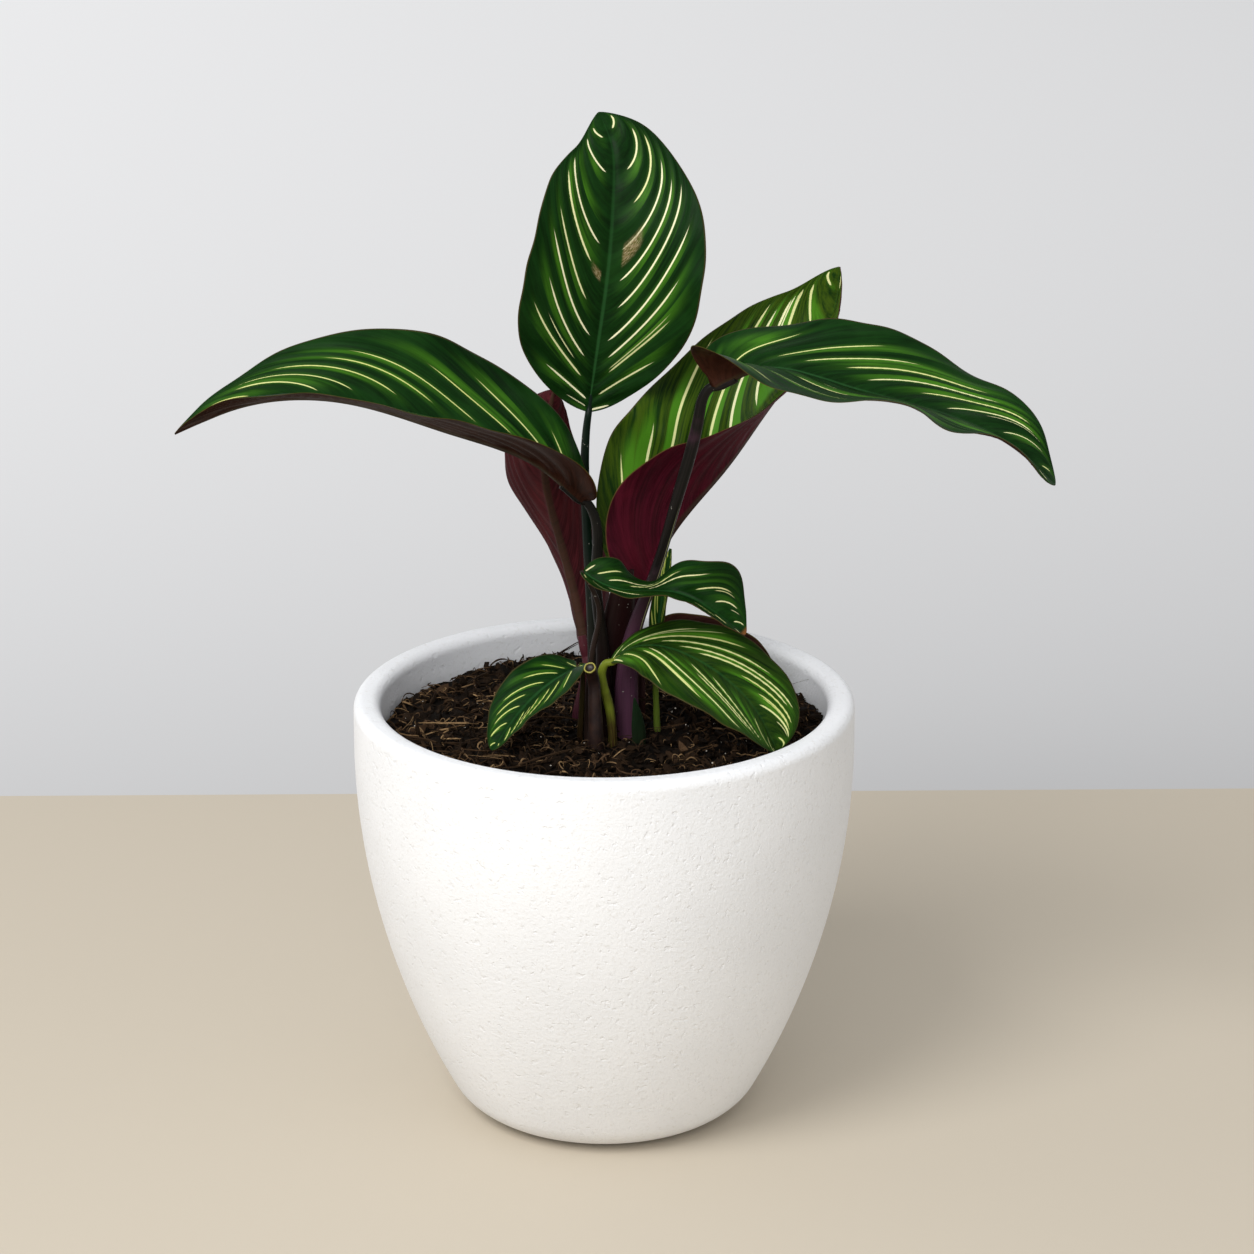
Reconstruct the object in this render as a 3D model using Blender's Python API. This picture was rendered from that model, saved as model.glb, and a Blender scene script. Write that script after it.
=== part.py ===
"""A pin-stripe calathea growing in a round, tapered pot: the pot, its potting soil, and one
clump of leaves, each a blade on a stem of its own. The pot stands on Z = 0 about the Z axis."""
import bpy
import numpy as np

# Driving sizes, metres
POT_RADIUS = 0.100
POT_HEIGHT = 0.175
BASE_RADIUS = 0.055
BASE_ROUND = 0.012
BELLY_HEIGHT = 0.89 * POT_HEIGHT
WALL = 0.011
FLOOR = 0.014
RIM_ROUND = 0.0042
SOIL_BELOW_RIM = 0.013
SOIL_RELIEF = 0.0010
GAP = 0.0003
BLADE_THICKNESS = 0.0006
STEM_THICKNESS = 1.0
FOOT_DEPTH = 0.007
PLANT_SCALE = 1.0

# The pot's belly is a superellipse between the base and the height where the side stands upright.
BELLY_ROUND = 1.96
BELLY_SWELL = 1.06

POT_SIDES = 56
SOIL_SIDES = 48
STEM_SIDES = 8
BLADE_ROWS = 16
ACROSS = np.array([0, 0.10, 0.36, 0.68, 1.0])

INNER_RADIUS = POT_RADIUS - WALL
SOIL_TOP = POT_HEIGHT - SOIL_BELOW_RIM
# Lengths of the plant are in millimetres from the middle of the soil's surface, for a pot 178 mm
# wide inside. A wider or narrower pot has a larger or smaller plant.
UNIT = 0.001 * PLANT_SCALE * INNER_RADIUS / 0.089

# How far out the crowded middle of the plant reaches, in the same millimetres.
CLUMP = 42

# Each leaf: its midrib from base to tip, the way its upper face looks, how round its base and
# tip are, and the two halves of its blade. A half has its width and how far it folds up from
# flat, in degrees, at even steps from base to tip. The stem's points lead up to the blade's base.
LEAVES = {
    "upright": dict(
        midrib=[(-6, 19, 125), (-2, 19, 154), (2, 21, 185), (4, 27, 214), (3, 34, 230), (-2, 40, 241)],
        faces=[(0, -1, 0.1), (0, -1, 0.2), (-0.05, -1, 0.3)],
        base=0.60, tip=0.75,
        left=dict(width=[34, 38, 34.5, 36, 32], fold=[6, 18, 22, 22, 8], curl=8),
        right=dict(width=[30, 36.5, 39, 41, 34], fold=[-8, 4, 13, 0, -20], curl=6),
        stem=[(-4, 1), (-4.5, 6.5, 29), (-7, 16, 81)], thick=[2.8, 2.2, 2.0, 1.9], colour="dark",
    ),
    "left": dict(
        midrib=[(-8, -10, 98), (-24, -12, 113), (-59, -16, 128), (-100, -22, 142), (-141, -27, 141), (-165, -30, 131)],
        faces=[(0.2, 0, 1), (0, 0, 1), (0, 0, 1)],
        base=0.55, tip=0.80,
        left=dict(width=[40, 36, 40, 38, 38], fold=[31, 25, 17, 20, 35], lobe=14),
        right=dict(width=[36, 39, 36, 33, 37], fold=[29, 33, 50, 28, 5], curl=5, lobe=8),
        stem=[(-1, -9), (-0.8, -8, 39), (-3, -10, 68)], thick=[3.6, 3.6, 2.5, 2.2], colour="dark",
    ),
    "right": dict(
        midrib=[(43, -30, 150), (56, -34, 158), (92, -46, 155), (128, -55, 147), (157, -64, 135), (171, -68, 122)],
        faces=[(0, 0, 1), (0, 0, 1), (0, 0, 1)],
        base=0.45, tip=0.70,
        left=dict(width=[34, 30, 35, 37, 37], fold=[76, 25, 31, 32, 22, 16, 24, 8], lobe=8),
        right=dict(width=[44, 32, 40, 37, 36], fold=[82, 20, 2, 10, 16, 10, 20, 0], lobe=6),
        stem=[(9.5, -11), (11, -11, 40), (20, -18, 70), (29.5, -24, 106), (37, -28, 138)],
        thick=[5.0, 4.6, 3.2, 2.3, 2.1, 2.4], colour="dark",
    ),
    "cupped": dict(
        midrib=[(15, 4, 55), (24, 8, 76), (46, 14, 102), (66, 20, 129), (82, 24, 149), (90, 26, 165), (92, 26, 182)],
        faces=[(-0.9, -0.1, 0.5), (-0.85, -0.15, 0.5), (-0.85, -0.2, 0.4)],
        base=0.40, tip=0.75,
        left=dict(width=[39, 43, 44, 52, 55], fold=[38, 50, 80, 60, 45, 46, 55]),
        right=dict(width=[37, 38, 39.5, 39.5, 40], fold=[45, 65, 52, 30, 15, 12, 0]),
        stem=[(6.5, 5), (8, 4.5, 27), (12, 4, 44)], thick=[5.4, 5.2, 4.4, 2.8], colour="purple",
    ),
    "rolled": dict(
        midrib=[(-7, 13, 27), (-12, 21, 49), (-19, 29, 73), (-24, 35, 100), (-20, 38, 128)],
        faces=[(0.3, 1, 0), (0.3, 1, 0), (0.3, 1, 0)],
        base=0.60, tip=0.70,
        left=dict(width=[24, 24, 24], fold=[40, 50, 40], curl=40),
        right=dict(width=[24, 23, 30, 40, 38], fold=[40, 48, 36, 22, 20], curl=36),
        stem=[(-10, 8), (-7.5, 11, 12)], thick=[3.8, 3.5, 2.8], colour="purple",
    ),
    "wavy": dict(
        midrib=[(-8, -30, 75), (1, -34, 71), (14, -37, 70), (28, -40, 70), (39, -44, 66), (55, -50, 56)],
        faces=[(0, -0.1, 1), (0, -0.1, 1), (0, -0.1, 1)],
        base=0.40, tip=0.50,
        left=dict(width=[16, 14, 12, 15, 24, 13], fold=[65, 26, -5, 75, 35, 5]),
        right=dict(width=[11.5, 12, 13, 12.5, 12, 12], fold=[22, 13, 12, 19, 20, 20]),
        stem=[(-6.5, -17), (-3.5, -19, 43), (-4.5, -25, 66)], thick=[1.6, 1.4, 1.2, 1.1], colour="dark",
    ),
    "low_right": dict(
        midrib=[(2, -22, 35), (8, -23.5, 40.5), (20, -27, 44), (33, -33, 42), (44, -38, 37), (60, -43, 22), (68, -45, 6)],
        faces=[(0, 0, 1), (0.2, -0.1, 1), (0.7, -0.3, 0.6)],
        base=0.80, tip=0.60,
        left=dict(width=[15, 19, 19, 23, 28], fold=[28, 24, 36, 30, 50]),
        right=dict(width=[28, 27, 25.5, 24.5, 22], fold=[-16, -17, -14, -6, 8]),
        stem=[(3.5, -20.5), (1, -20.5, 20)], thick=[1.9, 1.8, 1.9], colour="light",
    ),
    "low_left": dict(
        midrib=[(-10, -15, 31), (-16, -19, 29), (-29, -27, 21), (-44, -41, 5)],
        faces=[(-0.2, -0.4, 1), (-0.3, -0.5, 1), (-0.3, -0.5, 1)],
        base=0.40, tip=0.60,
        left=dict(width=[13.5, 14, 12.5, 13], fold=[40, 16, 25, 22], lobe=5),
        right=dict(width=[17, 14.5, 14.5, 11], fold=[-20, 16, 9, 3], lobe=9),
        stem=[(-10, -12), (-8.5, -13, 20)], thick=[1.4, 1.2, 1.1], colour="dark",
    ),
    "low_back": dict(
        midrib=[(17, 16, 27), (38, 24, 25), (55, 30, 18), (66, 36, 5)],
        faces=[(0, 0.8, 0.6), (0, 0.8, 0.6), (0.3, 0.8, 0.5)],
        base=0.50, tip=0.70,
        left=dict(width=[15, 15, 15, 15], fold=[20, 20, 20, 20]),
        right=dict(width=[21, 14, 14, 16], fold=[45, 38, 16, 25]),
        stem=[(15, 12), (15, 14, 19)], thick=[1.8, 1.6, 1.4], colour="purple",
    ),
    "young": dict(
        midrib=[(20.5, -1.5, 31), (22, -2, 48), (24.5, -2.5, 64), (26, -2.5, 75)],
        faces=[(-0.6, -0.7, 0.2), (-0.6, -0.7, 0.2)],
        base=0.60, tip=0.80,
        left=dict(width=[4], fold=[50, 50]),
        right=dict(width=[6], fold=[35, 35]),
        stem=[(21.5, -3), (20.5, -1.5, 20)], thick=[1.4, 1.3, 1.2], colour="light",
    ),
}

UPPER_GREEN = (0.020, 0.095, 0.022)
STEM_COLOURS = {"dark": (0.022, 0.020, 0.019), "purple": (0.055, 0.014, 0.026), "light": (0.180, 0.260, 0.030)}


def natural_spline(knots, values, at):
    """A natural cubic spline through the values at the knots, read at the places at."""
    values = np.asarray(values, float)
    flat = values.reshape(len(knots), -1)
    last = len(knots) - 1
    gaps = np.diff(knots)
    rows = np.eye(last + 1)
    pull = np.zeros_like(flat)
    for i in range(1, last):
        rows[i, i - 1:i + 2] = gaps[i - 1], 2 * (gaps[i - 1] + gaps[i]), gaps[i]
        pull[i] = 6 * ((flat[i + 1] - flat[i]) / gaps[i] - (flat[i] - flat[i - 1]) / gaps[i - 1])
    bend = np.linalg.solve(rows, pull)
    cell = np.clip(np.searchsorted(knots, at, side="right") - 1, 0, last - 1)
    gap = gaps[cell][:, None]
    a = (knots[cell + 1] - at)[:, None] / gap
    b = 1 - a
    bent = ((a**3 - a) * bend[cell] + (b**3 - b) * bend[cell + 1]) * gap**2 / 6
    out = a * flat[cell] + b * flat[cell + 1] + bent
    return out.reshape((len(at),) + values.shape[1:])


def along(values, t):
    """A size given at even steps along a piece, read smoothly at the shares t of its length."""
    values = np.asarray(values, float)
    if len(values) == 1:
        return np.full(len(t), values[0])
    return natural_spline(np.linspace(0, 1, len(values)), values, t)


def unit(vectors):
    return vectors / np.linalg.norm(vectors, axis=-1, keepdims=True)


def follow(points, faces, t):
    """Places, directions and face normals at the shares t of a smooth path's length."""
    points = np.asarray(points, float)
    knots = np.concatenate([[0], np.cumsum(np.linalg.norm(np.diff(points, axis=0), axis=1))])
    knots = knots / knots[-1]
    fine = np.linspace(0, 1, 400)
    line = natural_spline(knots, points, fine)
    length = np.concatenate([[0], np.cumsum(np.linalg.norm(np.diff(line, axis=0), axis=1))])
    where = np.interp(t * length[-1], length, fine)
    places = natural_spline(knots, points, where)
    ahead = natural_spline(knots, points, np.clip(where + 0.001, 0, 1))
    behind = natural_spline(knots, points, np.clip(where - 0.001, 0, 1))
    directions = unit(ahead - behind)
    face = natural_spline(np.linspace(0, 1, len(faces)), faces, where)
    face = unit(face - (face * directions).sum(1)[:, None] * directions)
    return places, directions, face


def width_share(t, base, tip):
    """How wide a blade is at the shares t of its length, 1 at its widest."""
    peak = base / (base + tip)
    return t**base * (1 - t)**tip / (peak**base * (1 - peak)**tip)


def spread(points, foot, low=False):
    """Points of a leaf, moved out from the clump's middle as far as thicker stems push its foot.

    The outer part of a low leaf keeps its place between the clump and the wall, so the leaf of a
    larger plant still ends inside the pot."""
    points = np.array([[*p, 0.0][:3] for p in points], float)
    points[:, :2] += (STEM_THICKNESS - 1) * np.array(foot[:2])
    if low:
        out = np.hypot(points[:, 0], points[:, 1])
        drawn, given = INNER_RADIUS / UNIT - CLUMP, PLANT_SCALE * INNER_RADIUS / UNIT - CLUMP
        share = np.clip((out - CLUMP) / given, 0, 1)
        moved = CLUMP + drawn * (1 - (1 - share)**(given / drawn))
        points[:, :2] *= np.where(out > CLUMP, moved / out, 1)[:, None]
    return points


def blade_surface(leaf):
    """The upper face of a blade, in the plant's millimetres: rows along it, columns across it."""
    t = np.linspace(0, 1, BLADE_ROWS + 1)
    places, directions, face = follow(leaf["midrib"], leaf["faces"], t)
    across = np.cross(directions, face)
    share = width_share(t, leaf["base"], leaf["tip"])
    middle = len(ACROSS) - 1
    surface = np.zeros((len(t), 2 * middle + 1, 3))
    surface[:, middle] = places
    for side, name in ((-1, "left"), (1, "right")):
        half = leaf[name]
        width = np.maximum(along(half["width"], t) * share, 1.2 - 0.4 * t)
        fold = along(half["fold"], t)
        edge = places
        for j in range(1, middle + 1):
            angle = np.radians(fold + half.get("curl", 0) * (ACROSS[j] + ACROSS[j - 1]) / 2)[:, None]
            step = (width * (ACROSS[j] - ACROSS[j - 1]))[:, None]
            edge = edge + (np.cos(angle) * side * across + np.sin(angle) * face) * step
            back = half.get("lobe", 0) * (1 - t)**4 * share * ACROSS[j]**1.5
            surface[:, middle + side * j] = edge - directions * back[:, None]
    return surface


def in_pot(points):
    """The plant's millimetres as places in the pot."""
    return np.asarray(points, float) * UNIT + (0, 0, SOIL_TOP)


def add_object(name, points, faces, colour, roughness):
    mesh = bpy.data.meshes.new(name)
    mesh.from_pydata([tuple(p) for p in points], [], faces)
    mesh.validate()
    made = bpy.data.objects.new(name, mesh)
    bpy.context.scene.collection.objects.link(made)
    mesh.shade_smooth()
    material = bpy.data.materials.new(name)
    material.use_nodes = True
    shader = material.node_tree.nodes["Principled BSDF"]
    shader.inputs["Base Color"].default_value = (*colour, 1)
    shader.inputs["Roughness"].default_value = roughness
    shader.inputs["Metallic"].default_value = 0
    mesh.materials.append(material)
    return made


def rings_to_faces(rings, sides, tip_start, tip_end):
    """Faces of stacked rings of points, closed at both ends by the points given."""
    faces = []
    for i in range(rings - 1):
        for j in range(sides):
            k = (j + 1) % sides
            faces.append((i * sides + j, i * sides + k, (i + 1) * sides + k, (i + 1) * sides + j))
    for j in range(sides):
        k = (j + 1) % sides
        faces.append((tip_start, k, j))
        faces.append((tip_end, (rings - 1) * sides + j, (rings - 1) * sides + k))
    return faces


def revolved(profile, sides):
    """Points and faces of a profile of (radius, height) turned about Z, from axis to axis."""
    turn = np.linspace(0, 2 * np.pi, sides, endpoint=False)
    rings = [(r * np.cos(a), r * np.sin(a), z) for r, z in profile[1:-1] for a in turn]
    count = len(profile) - 2
    ends = [(0, 0, profile[0][1]), (0, 0, profile[-1][1])]
    return np.array(rings + ends), rings_to_faces(count, sides, count * sides, count * sides + 1)


def belly(height):
    share = 1 - np.minimum(height / BELLY_HEIGHT, 1)
    return BASE_RADIUS + (POT_RADIUS - BASE_RADIUS) * (1 - share**BELLY_ROUND)**(1 / BELLY_SWELL)


def inner_radius(height):
    """The inside of the wall, which keeps its thickness down to the floor."""
    return INNER_RADIUS - (POT_RADIUS - belly(height))


def arc(radius, height, size, start, end, steps):
    angles = np.radians(np.linspace(start, end, steps))
    return [(radius + size * np.cos(a), height + size * np.sin(a)) for a in angles]


def outer_radius(height):
    """The outside of the wall, which rounds in to the flat base."""
    down = np.maximum(BASE_ROUND - height, 0)
    return belly(height) - BASE_ROUND + np.sqrt(BASE_ROUND**2 - down**2)


def add_pot():
    rounded = BASE_ROUND * np.array([0, 0.04, 0.15, 0.35, 0.62])
    raised = BASE_ROUND + (BELLY_HEIGHT - BASE_ROUND) * np.linspace(0, 1, 9)
    outside = [(outer_radius(z), z) for z in (*rounded, *raised)]
    top = POT_HEIGHT - RIM_ROUND
    rim = arc(POT_RADIUS - RIM_ROUND, top, RIM_ROUND, 0, 90, 5)
    rim += arc(INNER_RADIUS + RIM_ROUND, top, RIM_ROUND, 90, 180, 5)
    inside = [(inner_radius(z), z) for z in BELLY_HEIGHT + (FLOOR - BELLY_HEIGHT) * np.linspace(0, 1, 8)]
    profile = [(0, 0)] + outside + rim + inside + [(0, FLOOR)]
    points, faces = revolved(profile, POT_SIDES)
    return add_object("pot", points, faces, (0.86, 0.84, 0.82), 0.75)


def add_soil():
    heights = FLOOR + GAP + (SOIL_TOP - 0.001 - FLOOR - GAP) * np.linspace(0, 1, 8)
    wall = [(inner_radius(z) - GAP - 0.0002, z) for z in heights]
    widest = wall[-1][0]
    surface = [(widest * share, SOIL_TOP) for share in (0.95, 0.85, 0.73, 0.60, 0.46, 0.32, 0.17)]
    profile = [(0, heights[0])] + wall + surface + [(0, SOIL_TOP)]
    points, faces = revolved(profile, SOIL_SIDES)
    # The surface is lumpy where nothing touches it.
    x, y = points[:, 0] / UNIT, points[:, 1] / UNIT
    lumps = np.sin(0.31 * x + 1.3) * np.cos(0.27 * y) + 0.7 * np.sin(0.53 * x - 0.47 * y + 0.4)
    on_top = points[:, 2] > SOIL_TOP - 0.0001
    points[on_top, 2] += SOIL_RELIEF * (lumps[on_top] - 1.7) / 1.7
    return add_object("soil", points, faces, (0.030, 0.019, 0.013), 0.95)


def add_blade(name, leaf):
    """A blade: its upper face, an under face one thickness away, and a rib under the midrib."""
    upper = in_pot(blade_surface(leaf))
    rows, columns = upper.shape[:2]
    down_leaf = np.gradient(upper, axis=0)
    across = np.gradient(upper, axis=1)
    normals = unit(np.cross(across, down_leaf))
    rib = 0.0009 * PLANT_SCALE * (1 - np.linspace(0, 1, rows))
    depth = np.full((rows, columns), BLADE_THICKNESS)
    middle = columns // 2
    depth[:, middle] += rib
    depth[:, middle - 1] += rib * 0.4
    depth[:, middle + 1] += rib * 0.4
    under = upper - normals * depth[..., None]
    points = np.concatenate([upper.reshape(-1, 3), under.reshape(-1, 3)])
    below = rows * columns

    def at(i, j):
        return i * columns + j

    faces = []
    for i in range(rows - 1):
        for j in range(columns - 1):
            a, b, c, d = at(i, j), at(i, j + 1), at(i + 1, j + 1), at(i + 1, j)
            # Both faces are split along the same, shorter diagonal, so the blade keeps its thickness.
            if np.linalg.norm(points[a] - points[c]) < np.linalg.norm(points[b] - points[d]):
                halves = ((a, b, c), (a, c, d))
            else:
                halves = ((a, b, d), (b, c, d))
            for half in halves:
                faces.append(half)
                faces.append(tuple(below + q for q in reversed(half)))
    border = [at(0, j) for j in range(columns)] + [at(i, columns - 1) for i in range(1, rows)]
    border += [at(rows - 1, j) for j in range(columns - 2, -1, -1)] + [at(i, 0) for i in range(rows - 2, 0, -1)]
    for here, after in zip(border, border[1:] + border[:1]):
        faces.append((after, here, below + here, below + after))
    return add_object(name + "_blade", points, faces, UPPER_GREEN, 0.42)


def stem_path(leaf):
    """A stem from its foot in the soil to just short of the blade, ending in line with it."""
    start, direction, _ = follow(leaf["midrib"], leaf["faces"], np.array([0.0]))
    foot = np.array([*leaf["stem"][0][:2], -FOOT_DEPTH / UNIT])
    reach = 2.5 * leaf["thick"][-1]
    stop = (GAP + 0.0004) / UNIT
    straight = [start[0] - direction[0] * back for back in (reach, (reach + stop) / 2, stop)]
    return [foot, *leaf["stem"][1:], *straight]


def tube(path, thick, grow=0.0, flat=1.0, recess=0.0):
    """Points and faces of a round stem. grow widens it and lengthens its foot, for a socket."""
    path = [np.asarray(p, float) for p in path]
    if grow:
        path[0] = path[0] - unit(path[1] - path[0]) * grow / UNIT
    t = np.linspace(0, 1, 4 + 3 * len(path))
    places, directions, face = follow(path, [(0.3, -1, 0.2), (0.3, -1, 0.2)], t)
    across = np.cross(directions, face)
    radius = along(thick, t) * STEM_THICKNESS
    wide = radius + grow / UNIT
    deep = radius * flat + grow / UNIT
    turn = np.linspace(0, 2 * np.pi, STEM_SIDES, endpoint=False)
    rings = []
    for place, side, front in zip(places, across * wide[:, None], face * deep[:, None]):
        rings += [place + np.cos(a) * side + np.sin(a) * front for a in turn]
    count = len(t)
    end = places[-1]
    if recess:
        for inward in (0, recess):
            end = places[-1] - directions[-1] * inward
            rings += [end + 0.7 * radius[-1] * (np.cos(a) * across[-1] + np.sin(a) * face[-1]) for a in turn]
            count += 1
    points = in_pot(rings + [places[0], end])
    faces = rings_to_faces(count, STEM_SIDES, len(points) - 2, len(points) - 1)
    return points, [tuple(reversed(f)) for f in faces]


def cut_socket(soil, name, path, thick, flat):
    """A socket in the soil, one gap wider than the stem that stands in it."""
    cutter = add_object("socket_" + name, *tube(path, thick, grow=GAP, flat=flat), (0.5, 0.5, 0.5), 0.5)
    cutter.hide_render = True
    cutter.display_type = "WIRE"
    cut = soil.modifiers.new(name, "BOOLEAN")
    cut.operation = "DIFFERENCE"
    cut.solver = "EXACT"
    cut.object = cutter


def main():
    for old in list(bpy.data.objects):
        bpy.data.objects.remove(old)
    add_pot()
    soil = add_soil()
    for name, leaf in LEAVES.items():
        foot = leaf["stem"][0]
        for line in ("midrib", "stem"):
            leaf[line] = spread(leaf[line], foot, name.startswith("low_"))
        add_blade(name, leaf)
        path = stem_path(leaf)
        add_object(name + "_stem", *tube(path, leaf["thick"]), STEM_COLOURS[leaf["colour"]], 0.35)
        cut_socket(soil, name, path, leaf["thick"], 1.0)
    deep = -FOOT_DEPTH / UNIT
    stub = [(-3, -24.5, deep), (-3.5, -24.8, 18), (-4.3, -26, 30), (-5.5, -29.5, 35)]
    stub = spread(stub, stub[0])
    add_object("cut_stub", *tube(stub, [3.6, 3.0, 2.5, 2.4], recess=0.8), (0.070, 0.028, 0.012), 0.4)
    cut_socket(soil, "cut_stub", stub, [3.6, 3.0, 2.5, 2.4], 1.0)
    bract = [(14, -21, deep), (13.5, -21.5, 8), (12, -23, 20)]
    bract = spread(bract, bract[0])
    add_object("bract", *tube(bract, [2.0, 2.8, 0.5], flat=0.35), (0.016, 0.055, 0.016), 0.5)
    cut_socket(soil, "bract", bract, [2.0, 2.8, 0.5], 0.35)


main()
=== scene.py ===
"""The look of a potted pin-stripe calathea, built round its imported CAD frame: fine leaf blades with
pleats and painted veins, smooth stems, bark and coir soil, and a sandy white pot. Metres, +Z up."""
import math

import bpy
import numpy as np
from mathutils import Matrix, Vector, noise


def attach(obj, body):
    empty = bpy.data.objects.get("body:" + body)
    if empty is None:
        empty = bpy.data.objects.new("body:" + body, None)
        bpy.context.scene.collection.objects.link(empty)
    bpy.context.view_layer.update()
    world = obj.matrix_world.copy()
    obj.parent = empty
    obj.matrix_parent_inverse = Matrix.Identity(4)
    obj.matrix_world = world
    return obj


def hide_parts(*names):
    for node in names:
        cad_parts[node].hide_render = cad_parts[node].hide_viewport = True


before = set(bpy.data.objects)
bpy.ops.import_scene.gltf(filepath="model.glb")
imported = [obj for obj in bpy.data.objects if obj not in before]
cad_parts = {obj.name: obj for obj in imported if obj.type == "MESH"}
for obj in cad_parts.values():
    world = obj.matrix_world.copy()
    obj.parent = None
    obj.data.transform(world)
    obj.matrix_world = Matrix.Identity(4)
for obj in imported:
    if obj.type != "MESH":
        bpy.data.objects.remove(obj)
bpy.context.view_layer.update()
random = np.random.default_rng(11)

# Sizes the pieces share with the frame.
POT_RADIUS = 0.100
POT_HEIGHT = 0.175
BASE_RADIUS = 0.055
BASE_ROUND = 0.012
BELLY_HEIGHT = 0.89 * POT_HEIGHT
BELLY_ROUND = 1.96
BELLY_SWELL = 1.06
INNER_RADIUS = 0.089
FLOOR = 0.014
RIM_ROUND = 0.0042
SOIL_TOP = 0.162

# A millimetre, and below it sizes in millimetres: the height of the stems' feet, how far out the soil
# reaches, and how far a blade's upper face lies under the frame's, with its pleats, the groove over
# its midrib and the wave of its margin.
UNIT = 0.001
FOOT = -7.0
SOIL_REACH = 88.2
BLADE_SINK = 0.45
PLEAT = 0.34
GROOVE = 0.45
MARGIN_WAVE = 0.55

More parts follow.
